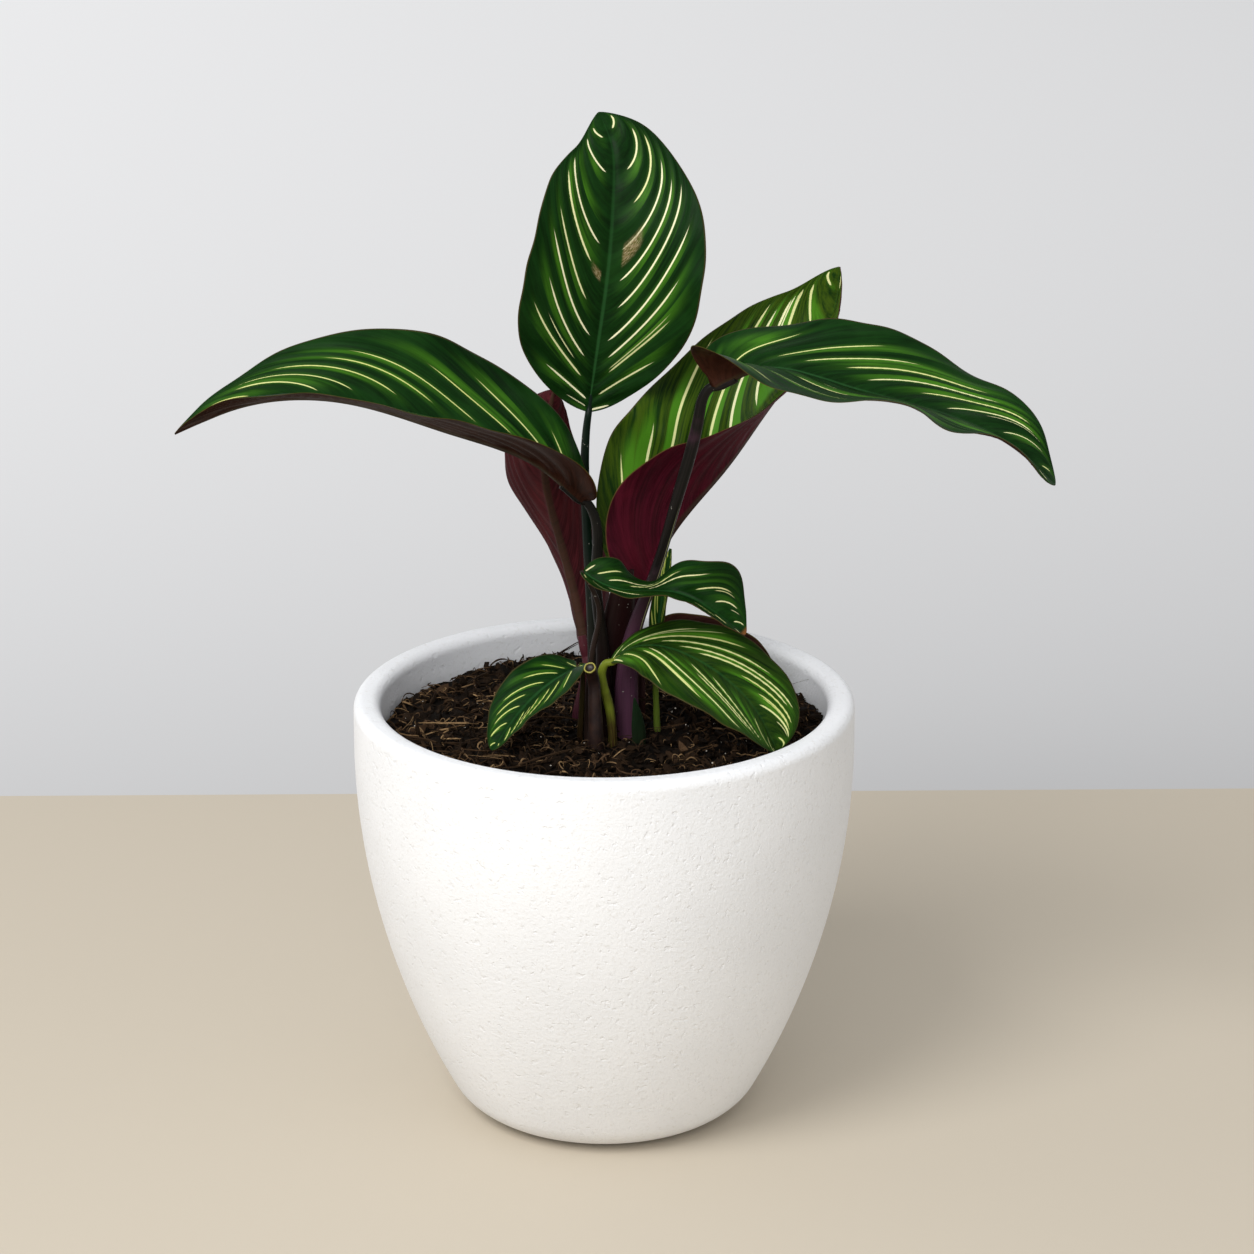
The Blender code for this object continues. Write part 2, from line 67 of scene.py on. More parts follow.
# Each leaf: its midrib from base to tip in millimetres from the middle of the soil's surface, the
# way its upper face looks, the two halves of its blade, and its stem.
LEAVES = {
    "upright": dict(
        midrib=[(-6, 19, 125), (-2, 19, 154), (2, 21, 185), (4, 27, 214), (3, 34, 230), (-2, 40, 241)],
        faces=[(0, -1, 0.1), (0, -1, 0.2), (-0.05, -1, 0.3)],
        base=0.60, tip=0.75,
        left=dict(width=[34, 38, 34.5, 36, 32], fold=[6, 18, 22, 22, 8], curl=8),
        right=dict(width=[30, 36.5, 39, 41, 34], fold=[-8, 4, 13, 0, -20], curl=6),
        stem=[(-4, 1), (-4.5, 6.5, 29), (-7, 16, 81)], thick=[2.8, 2.2, 2.0, 1.9], colour="dark",
    ),
    "left": dict(
        midrib=[
            (-8, -10, 98), (-24, -12, 113), (-59, -16, 128), (-100, -22, 142), (-141, -27, 141),
            (-165, -30, 131)],
        faces=[(0.2, 0, 1), (0, 0, 1), (0, 0, 1)],
        base=0.55, tip=0.80,
        left=dict(width=[40, 36, 40, 38, 38], fold=[31, 25, 17, 20, 35], lobe=14),
        right=dict(width=[36, 39, 36, 33, 37], fold=[29, 33, 50, 28, 5], curl=5, lobe=8),
        stem=[(-1, -9), (-0.8, -8, 39), (-3, -10, 68)], thick=[3.6, 3.6, 2.5, 2.2], colour="dark",
    ),
    "right": dict(
        midrib=[
            (43, -30, 150), (56, -34, 158), (92, -46, 155), (128, -55, 147), (157, -64, 135),
            (171, -68, 122)],
        faces=[(0, 0, 1)] * 3,
        base=0.45, tip=0.70,
        left=dict(width=[34, 30, 35, 37, 37], fold=[76, 25, 31, 32, 22, 16, 24, 8], lobe=8),
        right=dict(width=[44, 32, 40, 37, 36], fold=[82, 20, 2, 10, 16, 10, 20, 0], lobe=6),
        stem=[(9.5, -11), (11, -11, 40), (20, -18, 70), (29.5, -24, 106), (37, -28, 138)],
        thick=[5.0, 4.6, 3.2, 2.3, 2.1, 2.4], colour="dark",
    ),
    "cupped": dict(
        midrib=[
            (15, 4, 55), (24, 8, 76), (46, 14, 102), (66, 20, 129), (82, 24, 149), (90, 26, 165),
            (92, 26, 182)],
        faces=[(-0.9, -0.1, 0.5), (-0.85, -0.15, 0.5), (-0.85, -0.2, 0.4)],
        base=0.40, tip=0.75,
        left=dict(width=[39, 43, 44, 52, 55], fold=[38, 50, 80, 60, 45, 46, 55]),
        right=dict(width=[37, 38, 39.5, 39.5, 40], fold=[45, 65, 52, 30, 15, 12, 0]),
        stem=[(6.5, 5), (8, 4.5, 27), (12, 4, 44)], thick=[5.4, 5.2, 4.4, 2.8], colour="purple",
    ),
    "rolled": dict(
        midrib=[(-7, 13, 27), (-12, 21, 49), (-19, 29, 73), (-24, 35, 100), (-20, 38, 128)],
        faces=[(0.3, 1, 0)] * 3,
        base=0.60, tip=0.70,
        left=dict(width=[24, 24, 24], fold=[40, 50, 40], curl=40),
        right=dict(width=[24, 23, 30, 40, 38], fold=[40, 48, 36, 22, 20], curl=36),
        stem=[(-10, 8), (-7.5, 11, 12)], thick=[3.8, 3.5, 2.8], colour="purple",
    ),
    "wavy": dict(
        midrib=[(-8, -30, 75), (1, -34, 71), (14, -37, 70), (28, -40, 70), (39, -44, 66), (55, -50, 56)],
        faces=[(0, -0.1, 1)] * 3,
        base=0.40, tip=0.50,
        left=dict(width=[16, 14, 12, 15, 24, 13], fold=[65, 26, -5, 75, 35, 5]),
        right=dict(width=[11.5, 12, 13, 12.5, 12, 12], fold=[22, 13, 12, 19, 20, 20]),
        stem=[(-6.5, -17), (-3.5, -19, 43), (-4.5, -25, 66)], thick=[1.6, 1.4, 1.2, 1.1], colour="dark",
    ),
    "low_right": dict(
        midrib=[
            (2, -22, 35), (8, -23.5, 40.5), (20, -27, 44), (33, -33, 42), (44, -38, 37),
            (60, -43, 22), (68, -45, 6)],
        faces=[(0, 0, 1), (0.2, -0.1, 1), (0.7, -0.3, 0.6)],
        base=0.80, tip=0.60,
        left=dict(width=[15, 19, 19, 23, 28], fold=[28, 24, 36, 30, 50]),
        right=dict(width=[28, 27, 25.5, 24.5, 22], fold=[-16, -17, -14, -6, 8]),
        stem=[(3.5, -20.5), (1, -20.5, 20)], thick=[1.9, 1.8, 1.9], colour="light",
    ),
    "low_left": dict(
        midrib=[(-10, -15, 31), (-16, -19, 29), (-29, -27, 21), (-44, -41, 5)],
        faces=[(-0.2, -0.4, 1), (-0.3, -0.5, 1), (-0.3, -0.5, 1)],
        base=0.40, tip=0.60,
        left=dict(width=[13.5, 14, 12.5, 13], fold=[40, 16, 25, 22], lobe=5),
        right=dict(width=[17, 14.5, 14.5, 11], fold=[-20, 16, 9, 3], lobe=9),
        stem=[(-10, -12), (-8.5, -13, 20)], thick=[1.4, 1.2, 1.1], colour="dark",
    ),
    "low_back": dict(
        midrib=[(17, 16, 27), (38, 24, 25), (55, 30, 18), (66, 36, 5)],
        faces=[(0, 0.8, 0.6), (0, 0.8, 0.6), (0.3, 0.8, 0.5)],
        base=0.50, tip=0.70,
        left=dict(width=[15, 15, 15, 15], fold=[20, 20, 20, 20]),
        right=dict(width=[21, 14, 14, 16], fold=[45, 38, 16, 25]),
        stem=[(15, 12), (15, 14, 19)], thick=[1.8, 1.6, 1.4], colour="purple",
    ),
    "young": dict(
        midrib=[(20.5, -1.5, 31), (22, -2, 48), (24.5, -2.5, 64), (26, -2.5, 75)],
        faces=[(-0.6, -0.7, 0.2)] * 2,
        base=0.60, tip=0.80,
        left=dict(width=[4], fold=[50, 50]),
        right=dict(width=[6], fold=[35, 35]),
        stem=[(21.5, -3), (20.5, -1.5, 20)], thick=[1.4, 1.3, 1.2], colour="light",
    ),
}


def natural_spline(knots, values, at):
    """A natural cubic spline through the values at the knots, read at the places at."""
    values = np.asarray(values, float)
    flat = values.reshape(len(knots), -1)
    last = len(knots) - 1
    gaps = np.diff(knots)
    rows = np.eye(last + 1)
    pull = np.zeros_like(flat)
    for i in range(1, last):
        rows[i, i - 1:i + 2] = gaps[i - 1], 2 * (gaps[i - 1] + gaps[i]), gaps[i]
        pull[i] = 6 * ((flat[i + 1] - flat[i]) / gaps[i] - (flat[i] - flat[i - 1]) / gaps[i - 1])
    bend = np.linalg.solve(rows, pull)
    cell = np.clip(np.searchsorted(knots, at, side="right") - 1, 0, last - 1)
    gap = gaps[cell][:, None]
    a = (knots[cell + 1] - at)[:, None] / gap
    b = 1 - a
    bent = ((a**3 - a) * bend[cell] + (b**3 - b) * bend[cell + 1]) * gap**2 / 6
    out = a * flat[cell] + b * flat[cell + 1] + bent
    return out.reshape((len(at),) + values.shape[1:])


def along(values, t):
    """A size given at even steps along a piece, read smoothly at the shares t of its length."""
    values = np.asarray(values, float)
    if len(values) == 1:
        return np.full(len(t), values[0])
    return natural_spline(np.linspace(0, 1, len(values)), values, t)


def unit(vectors):
    return vectors / np.linalg.norm(vectors, axis=-1, keepdims=True)


def follow(points, faces, t):
    """Places, directions and face normals at the shares t of a smooth path's length."""
    points = np.asarray(points, float)
    knots = np.concatenate([[0], np.cumsum(np.linalg.norm(np.diff(points, axis=0), axis=1))])
    knots = knots / knots[-1]
    fine = np.linspace(0, 1, 400)
    line = natural_spline(knots, points, fine)
    length = np.concatenate([[0], np.cumsum(np.linalg.norm(np.diff(line, axis=0), axis=1))])
    where = np.interp(t * length[-1], length, fine)
    places = natural_spline(knots, points, where)
    ahead = natural_spline(knots, points, np.clip(where + 0.001, 0, 1))
    behind = natural_spline(knots, points, np.clip(where - 0.001, 0, 1))
    directions = unit(ahead - behind)
    face = natural_spline(np.linspace(0, 1, len(faces)), faces, where)
    face = unit(face - (face * directions).sum(1)[:, None] * directions)
    return places, directions, face


def width_share(t, base, tip):
    """How wide a blade is at the shares t of its length, 1 at its widest."""
    peak = base / (base + tip)
    return t**base * (1 - t)**tip / (peak**base * (1 - peak)**tip)


# ---------------------------------------------------------------- the looks of each leaf

# pitch: cells of the stripe pattern from base to tip. bright: how much of the light green shows, and
# lit: how readily. inner: the share across by which its bands are full. reach: how far across the
# stripes run. sweep: how far a vein runs towards the tip. olive: how yellow the green is. stripe: half
# the widest stripe, in millimetres. cream: the stripes' colour. wine: the colour under the blade.
# scars: dry patches, each with its side, its cell, half its width in cells, and its start and end across.
CREAM = (0.90, 0.86, 0.56)
YELLOW = (0.62, 0.66, 0.16)
LOOKS = {
    "upright": dict(
        seed=3, pitch=11, bright=0.72, reach=0.92, stripe=0.38, cream=CREAM, wine=(0.050, 0.012, 0.014),
        scars=[(1, 7.15, 0.42, 0.12, 0.36), (-1, 6.6, 0.20, 0.06, 0.22)]),
    "left": dict(
        seed=17, pitch=11, bright=0.72, reach=0.80, sweep=1.05, stripe=0.27,
        cream=(0.72, 0.74, 0.30), wine=(0.034, 0.012, 0.007)),
    "right": dict(
        seed=5, pitch=10, bright=0.9, reach=0.88, sweep=1.3, stripe=0.29,
        cream=(0.80, 0.80, 0.42), wine=(0.034, 0.012, 0.007)),
    "cupped": dict(
        seed=23, pitch=11, bright=1.7, inner=0.1, lit=0.14, olive=0.70, sweep=1.15, stripe=0.55,
        cream=(0.88, 0.86, 0.52), wine=(0.080, 0.007, 0.018)),
    "rolled": dict(
        seed=31, pitch=10, bright=0.8, stripe=0.4, cream=YELLOW, wine=(0.080, 0.014, 0.018)),
    "wavy": dict(
        seed=41, pitch=9, bright=0.25, reach=0.84, sweep=1.1, stripe=0.28, brown_tip=True,
        cream=(0.80, 0.76, 0.42), wine=(0.060, 0.016, 0.016)),
    "low_right": dict(
        seed=53, pitch=10, bright=1.05, inner=0.30, lit=0.06, olive=0.30, reach=0.95, sweep=2.0,
        stripe=0.36, cream=(0.78, 0.80, 0.36), wine=(0.050, 0.020, 0.014)),
    "low_left": dict(
        seed=61, pitch=8, bright=0.5, reach=0.84, sweep=1.1, stripe=0.26,
        cream=(0.66, 0.72, 0.22), wine=(0.050, 0.020, 0.014)),
    "low_back": dict(
        seed=71, pitch=8, bright=0.6, stripe=0.3, cream=YELLOW, wine=(0.055, 0.020, 0.016)),
    "young": dict(
        seed=83, pitch=7, bright=1.3, stripe=0.2, cream=YELLOW, wine=(0.05, 0.10, 0.02)),
}


def vein_origin(t, q, sweep):
    """Where on the midrib the vein through the share t along and q across starts.

    A vein from c runs so that 1 - t = (1 - c) exp(-k g(q)): it leaves the midrib gently, then turns
    towards the tip, and k grows along the blade."""
    low = np.zeros(np.broadcast(t, q).shape)
    high = np.ones_like(low)
    climb = sweep * (0.15 * q + 0.92 * q**2)
    for _ in range(40):
        middle = (low + high) / 2
        short = 1 - (1 - middle) * np.exp(-1.9 * (1 - np.exp(-middle / 0.3)) * climb) < t
        low = np.where(short, middle, low)
        high = np.where(short, high, middle)
    return (low + high) / 2


def blade_grid(leaf, rows, columns):
    """The upper face of a blade in millimetres with its shares t along and q across, q < 0 on the left."""
    u = np.linspace(0, 1, rows)
    t = 0.6 * u + 0.4 * (0.5 - 0.5 * np.cos(np.pi * u))
    places, directions, face = follow(leaf["midrib"], leaf["faces"], t)
    across = np.cross(directions, face)
    share = width_share(t, leaf["base"], leaf["tip"])
    s = np.linspace(0, 1, columns)
    s = 0.75 * s + 0.25 * np.sin(s * np.pi / 2)
    surface = np.zeros((rows, 2 * columns - 1, 3))
    surface[:, columns - 1] = places
    for side, name in ((-1, "left"), (1, "right")):
        half = leaf[name]
        width = np.maximum(along(half["width"], t) * share, 1.2 - 1.0 * t)
        fold = along(half["fold"], t)
        edge = places
        for j in range(1, columns):
            angle = np.radians(fold + half.get("curl", 0) * (s[j] + s[j - 1]) / 2)[:, None]
            step = (width * (s[j] - s[j - 1]))[:, None]
            edge = edge + (np.cos(angle) * side * across + np.sin(angle) * face) * step
            back = half.get("lobe", 0) * (1 - t)**4 * share * s[j]**1.5
            surface[:, columns - 1 + side * j] = edge - directions * back[:, None]
    q = np.concatenate([-s[:0:-1], s])
    return surface, t, q


def grid_normals(surface):
    return unit(np.cross(np.gradient(surface, axis=1), np.gradient(surface, axis=0)))


def cell_pitch(surface, cells):
    """Millimetres across one cell of the pattern at each point of the grid."""
    pu = np.gradient(surface, axis=0)
    pv = np.gradient(surface, axis=1)
    nu = np.gradient(cells, axis=0)
    nv = np.gradient(cells, axis=1)
    e, f, g = (pu * pu).sum(-1), (pu * pv).sum(-1), (pv * pv).sum(-1)
    square = (g * nu**2 - 2 * f * nu * nv + e * nv**2) / np.maximum(e * g - f * f, 1e-9)
    return 1 / np.sqrt(np.maximum(square, 1e-4))


def in_frame(points):
    """Metres in the frame, from millimetres about the middle of the soil's surface."""
    return points * UNIT + (0, 0, SOIL_TOP)


def link(name, data):
    made = bpy.data.objects.new(name, data)
    bpy.context.scene.collection.objects.link(made)
    return made


def new_mesh(name, points, faces, materials, indices=None):
    """A piece whose faces all have the same number of corners."""
    mesh = bpy.data.meshes.new(name)
    points = np.asarray(points, np.float32)
    faces = np.asarray(faces, np.int32)
    corners = faces.shape[1]
    mesh.vertices.add(len(points))
    mesh.vertices.foreach_set("co", points.ravel())
    mesh.loops.add(faces.size)
    mesh.loops.foreach_set("vertex_index", faces.ravel())
    mesh.polygons.add(len(faces))
    mesh.polygons.foreach_set("loop_start", np.arange(0, faces.size, corners, dtype=np.int32))
    for material in materials:
        mesh.materials.append(material)
    if indices is not None:
        mesh.polygons.foreach_set("material_index", np.asarray(indices, np.int32))
    mesh.update(calc_edges=True)
    mesh.validate()
    mesh.shade_smooth()
    return link(name, mesh)


def closed_rings(name, points, sides, material, turn=1):
    """A closed piece from rings of points, with the middles of its first and last ring as the last two
    points. A turn of -1 is for rings that run the other way."""
    count = (len(points) - 2) // sides
    i, j = np.meshgrid(np.arange(count - 1), np.arange(sides), indexing="ij")
    a, b = (i * sides + j).ravel(), (i * sides + (j + 1) % sides).ravel()
    quads = np.stack([a, b, b + sides, a + sides], 1)
    first, last = np.arange(sides), np.arange(sides) + (count - 1) * sides
    ends = [(len(points) - 2, np.roll(first, -1), first), (len(points) - 1, last, np.roll(last, -1))]
    fans = [np.stack([np.full(sides, middle), k, m], 1) for middle, k, m in ends]
    mesh = bpy.data.meshes.new(name)
    faces = [tuple(face[::turn]) for part in (quads, *fans) for face in part]
    mesh.from_pydata([tuple(point) for point in points], [], faces)
    mesh.materials.append(material)
    mesh.shade_smooth()
    return link(name, mesh)


def put_uv(made, name, values):
    """A UV map from one pair of numbers per point."""
    layer = made.data.uv_layers.new(name=name)
    index = np.zeros(len(made.data.loops), np.int32)
    made.data.loops.foreach_get("vertex_index", index)
    layer.data.foreach_set("uv", np.asarray(values, np.float32)[index].ravel())


# ---------------------------------------------------------------- material helpers

class Nodes:
    """Short calls that add the nodes of one material."""

    def __init__(self, name):
        self.material = bpy.data.materials.new(name)
        self.material.use_nodes = True
        self.tree = self.material.node_tree
        self.shader = self.tree.nodes["Principled BSDF"]

    def add(self, kind, **settings):
        node = self.tree.nodes.new(kind)
        for key, value in settings.items():
            setattr(node, key, value)
        return node

    def put(self, socket, value):
        if isinstance(value, bpy.types.NodeSocket):
            self.tree.links.new(value, socket)
        elif isinstance(value, tuple) and len(value) == 3 and socket.type == "RGBA":
            socket.default_value = (*value, 1)
        else:
            socket.default_value = value

    def math(self, operation, a, b=0.0, c=0.0, clamp=False):
        node = self.add("ShaderNodeMath", operation=operation, use_clamp=clamp)
        for socket, value in zip(node.inputs, (a, b, c)):
            self.put(socket, value)
        return node.outputs[0]

    def mul(self, value, *others):
        for other in others:
            value = self.math("MULTIPLY", value, other)
        return value

    def plus(self, value, *others):
        for other in others:
            value = self.math("ADD", value, other)
        return value

    def minus(self, a, b):
        return self.math("SUBTRACT", a, b)

    def apart(self, a, b):
        return self.math("ABSOLUTE", self.minus(a, b))

    def step(self, value, start, end, low=0.0, high=1.0):
        """A smooth step from low at start to high at end."""
        node = self.add("ShaderNodeMapRange", interpolation_type="SMOOTHSTEP")
        keys = ("Value", "From Min", "From Max", "To Min", "To Max")
        for key, number in zip(keys, (value, start, end, low, high)):
            self.put(node.inputs[key], number)
        return node.outputs[0]

    def fall(self, value, start, end):
        return self.step(value, start, end, 1.0, 0.0)

    def mix(self, factor, a, b, blend="MIX"):
        node = self.add("ShaderNodeMix", data_type="RGBA", blend_type=blend)
        self.put(node.inputs["Factor"], factor)
        self.put(node.inputs["A"], a)
        self.put(node.inputs["B"], b)
        return node.outputs["Result"]

    def noise(self, vector, scale, detail=3.0, rough=0.55, warp=0.0):
        node = self.add("ShaderNodeTexNoise")
        if vector is not None:
            self.put(node.inputs["Vector"], vector)
        for key, number in (("Scale", scale), ("Detail", detail), ("Roughness", rough), ("Distortion", warp)):
            node.inputs[key].default_value = number
        return node.outputs["Fac"]

    def chance(self, value):
        """A random number from 0 to 1 for each whole number."""
        node = self.add("ShaderNodeTexWhiteNoise", noise_dimensions="1D")
        self.put(node.inputs["W"], value)
        return node.outputs["Value"]

    def uv(self, name):
        node = self.add("ShaderNodeUVMap", uv_map=name)
        split = self.add("ShaderNodeSeparateXYZ")
        self.put(split.inputs[0], node.outputs["UV"])
        return split.outputs["X"], split.outputs["Y"]

    def join(self, x, y, z=0.0):
        node = self.add("ShaderNodeCombineXYZ")
        for socket, value in zip(node.inputs, (x, y, z)):
            self.put(socket, value)
        return node.outputs[0]

    def place(self):
        return self.add("ShaderNodeTexCoord").outputs["Object"]

    def bump(self, height, strength, distance, before=None):
        node = self.add("ShaderNodeBump")
        node.inputs["Strength"].default_value = strength
        node.inputs["Distance"].default_value = distance
        self.put(node.inputs["Height"], height)
        if before is not None:
            self.put(node.inputs["Normal"], before)
        return node.outputs[0]

    def ramp(self, value, *stops):
        node = self.add("ShaderNodeValToRGB")
        elements = node.color_ramp.elements
        for i, (place, colour) in enumerate(stops):
            element = elements[i] if i < 2 else elements.new(place)
            element.position = place
            element.color = (*colour, 1)
        self.put(node.inputs[0], value)
        return node.outputs["Color"]

    def finish(self, colour, rough, normal=None, **inputs):
        self.put(self.shader.inputs["Base Color"], colour)
        self.put(self.shader.inputs["Roughness"], rough)
        if normal is not None:
            self.put(self.shader.inputs["Normal"], normal)
        for key, value in inputs.items():
            self.put(self.shader.inputs[key.replace("_", " ")], value)
        return self.material


DARK_GREEN = (0.0050, 0.031, 0.0042)
DEEP_GREEN = (0.0024, 0.0135, 0.0020)
BRIGHT_GREEN = (0.062, 0.205, 0.012)


def stripes(n, where, look, shift, share, width, start, end):
    """One family of pale stripes, one to a cell of the pattern, where a random number passes share."""
    t, cells, across, pitch, side = where
    seed = look["seed"] * 10.0 + shift * 100
    moved = n.minus(cells, shift)
    whole = n.math("FLOOR", moved)
    key = n.plus(whole, n.mul(side, 37.0), seed)
    first, second, third = (n.chance(n.plus(key, k)) for k in (0.3, 0.55, 0.8))
    off = n.minus(n.math("FRACT", moved), n.plus(0.34, n.mul(first, 0.32)))
    distance = n.mul(n.math("ABSOLUTE", off), pitch)
    begin = n.plus(start, n.mul(second, 0.16))
    tip = n.step(t, 0.80, 1.0, 0.0, 0.14)
    stop = n.minus(n.minus(end, n.mul(third, 0.20)), tip)
    opening = n.step(n.minus(across, begin), 0.0, 0.10)
    closing = n.step(n.minus(stop, across), 0.0, 0.16)
    wide = n.mul(opening, closing, width)
    line = n.fall(n.minus(distance, wide), -0.16, 0.07)
    there = n.math("GREATER_THAN", n.chance(n.plus(key, 0.15)), share)
    drawn = n.mul(line, there, n.step(wide, 0.02, 0.14))
    return drawn, off, first, second


def upper_material(name, look):
    n = Nodes(name)
    t, q = n.uv("leaf")
    cells, pitch = n.uv("veins")
    across = n.math("ABSOLUTE", q)
    side = n.math("GREATER_THAN", q, 0.0)
    place = n.place()
    cloudy = n.noise(place, 45.0, 3.0)
    streak_at = n.join(n.mul(cells, 3.1), n.mul(across, 1.4), look["seed"] * 1.7)
    streaks = n.noise(streak_at, 2.2, 4.0, 0.65)
    broad = n.noise(n.join(n.mul(cells, 0.62), n.mul(across, 0.9), look["seed"] * 2.3), 2.0, 2.0)

    where = (t, cells, across, pitch, side)
    reach = look.get("reach", 0.97)
    main, off, first, second = stripes(n, where, look, 0.0, 0.06, look["stripe"], 0.07, reach)
    twin, _, _, _ = stripes(n, where, look, 0.27, 0.80, look["stripe"] * 0.62, 0.16, reach - 0.05)

    # Light green bands lie to one side of the stripes and fade towards the margin and the midrib.
    lean = n.step(first, 0.45, 0.55, -0.23, 0.23)
    beside = n.apart(off, lean)
    band = n.fall(beside, 0.05, 0.33)
    inner = n.step(across, 0.04, look.get("inner", 0.42))
    outer = n.fall(across, 0.62, 0.93)
    length = n.mul(n.step(t, 0.02, 0.16), n.fall(t, 0.80, 0.97))
    band = n.mul(band, n.mul(inner, outer), length)
    lit = look.get("lit", 0.0)
    band = n.mul(band, n.step(n.plus(n.mul(broad, 0.75), n.mul(streaks, 0.45)), 0.40 - lit, 0.78 - lit))
    band = n.math("MULTIPLY", band, look["bright"], clamp=True)

    green = n.mix(n.step(streaks, 0.30, 0.72), DEEP_GREEN, DARK_GREEN)
    green = n.mix(n.mul(n.step(cloudy, 0.35, 0.75), 0.35), green, (0.014, 0.062, 0.009))
    green = n.mix(n.mul(n.step(streaks, 0.30, 0.66), look.get("olive", 0.0)), green, (0.060, 0.105, 0.005))
    green = n.mix(band, green, BRIGHT_GREEN)
    # A thin light line beside the stripes, where the green thins out.
    halo = n.mul(n.fall(n.mul(n.math("ABSOLUTE", off), pitch), 0.3, 1.7), n.mul(inner, outer))
    green = n.mix(n.mul(halo, 0.30 * min(look["bright"], 1.2)), green, BRIGHT_GREEN)
    yellowed = tuple(0.55 * c + 0.45 * y for c, y in zip(look["cream"], YELLOW))
    pale = n.mix(n.step(second, 0.3, 0.9), look["cream"], yellowed)
    green = n.mix(n.mul(twin, 0.85), green, pale)
    green = n.mix(n.mul(main, 0.95), green, pale)

    # The midrib is a touch lighter than the blade.
    rib = n.fall(n.mul(across, look["half"]), 0.25, 0.90)
    green = n.mix(n.mul(rib, n.step(t, 0.2, 0.9, 0.6, 0.2)), green, (0.022, 0.090, 0.024))
    # A narrow brown margin.
    margin = n.fall(n.mul(n.minus(1.0, across), look["half"]), 0.25, 0.75)
    green = n.mix(n.mul(margin, 0.8), green, (0.060, 0.045, 0.016))
    for scar_side, cell, wide, start, end in look.get("scars", ()):
        near = n.apart(cells, cell)
        worn = n.noise(n.join(n.mul(cells, 9.0), n.mul(across, 14.0)), 2.4, 4.0, 0.7)
        inside = n.mul(n.fall(near, wide * 0.35, wide), n.step(across, start, start + 0.03))
        inside = n.mul(inside, n.fall(across, end - 0.10, end))
        on_side = n.math("COMPARE", side, float(scar_side > 0), 0.1)
        dry = n.mul(inside, on_side, n.step(worn, 0.30, 0.56))
        green = n.mix(dry, green, n.mix(n.step(worn, 0.45, 0.75), (0.16, 0.11, 0.040), (0.46, 0.40, 0.26)))
    if look.get("brown_tip"):
        green = n.mix(n.step(t, 0.965, 0.99), green, (0.20, 0.075, 0.020))

    fine = n.noise(n.join(n.mul(cells, 22.0), n.mul(across, 1.2)), 2.0, 2.0, 0.6)
    cellular = n.noise(place, 2600.0, 2.0)
    height = n.plus(n.mul(fine, 0.75), n.mul(cellular, 0.20))
    height = n.plus(height, n.mul(main, 0.25))
    normal = n.bump(height, 0.55, 0.00016)
    rough = n.plus(0.33, n.mul(n.step(streaks, 0.3, 0.8), 0.12))
    return n.finish(green, rough, normal, Specular_IOR_Level=0.045)


def under_material(name, look):
    n = Nodes(name)
    _, q = n.uv("leaf")
    cells, _ = n.uv("veins")
    across = n.math("ABSOLUTE", q)
    streaks = n.noise(n.join(n.mul(cells, 3.4), n.mul(across, 1.2), look["seed"] * 0.9), 2.4, 4.0, 0.65)
    cloudy = n.noise(n.place(), 38.0, 3.0)
    wine = look["wine"]
    deep = tuple(0.36 * c for c in wine)
    colour = n.mix(n.step(streaks, 0.28, 0.70), deep, wine)
    ruddy = (wine[0] * 1.45, wine[1] * 1.25, wine[2] * 1.1)
    colour = n.mix(n.mul(n.step(cloudy, 0.40, 0.75), 0.5), colour, ruddy)
    vein = n.fall(n.apart(n.math("FRACT", n.plus(cells, 0.5)), 0.5), 0.0, 0.11)
    colour = n.mix(n.mul(vein, 0.30), colour, tuple(0.5 * c for c in wine))
    rib = n.fall(n.mul(across, look["half"]), 0.8, 2.2)
    colour = n.mix(n.mul(rib, 0.6), colour, (0.045, 0.034, 0.018))
    margin = n.fall(n.mul(n.minus(1.0, across), look["half"]), 0.25, 0.8)
    colour = n.mix(n.mul(margin, 0.35), colour, (0.16, 0.15, 0.03))
    fine = n.noise(n.join(n.mul(cells, 20.0), n.mul(across, 1.2)), 2.0, 2.0, 0.6)
    height = n.plus(n.mul(fine, 0.8), n.mul(n.noise(n.place(), 2400.0, 2.0), 0.25))
    normal = n.bump(height, 0.6, 0.00018)
    return n.finish(colour, n.plus(0.42, n.mul(streaks, 0.12)), normal, Specular_IOR_Level=0.035)


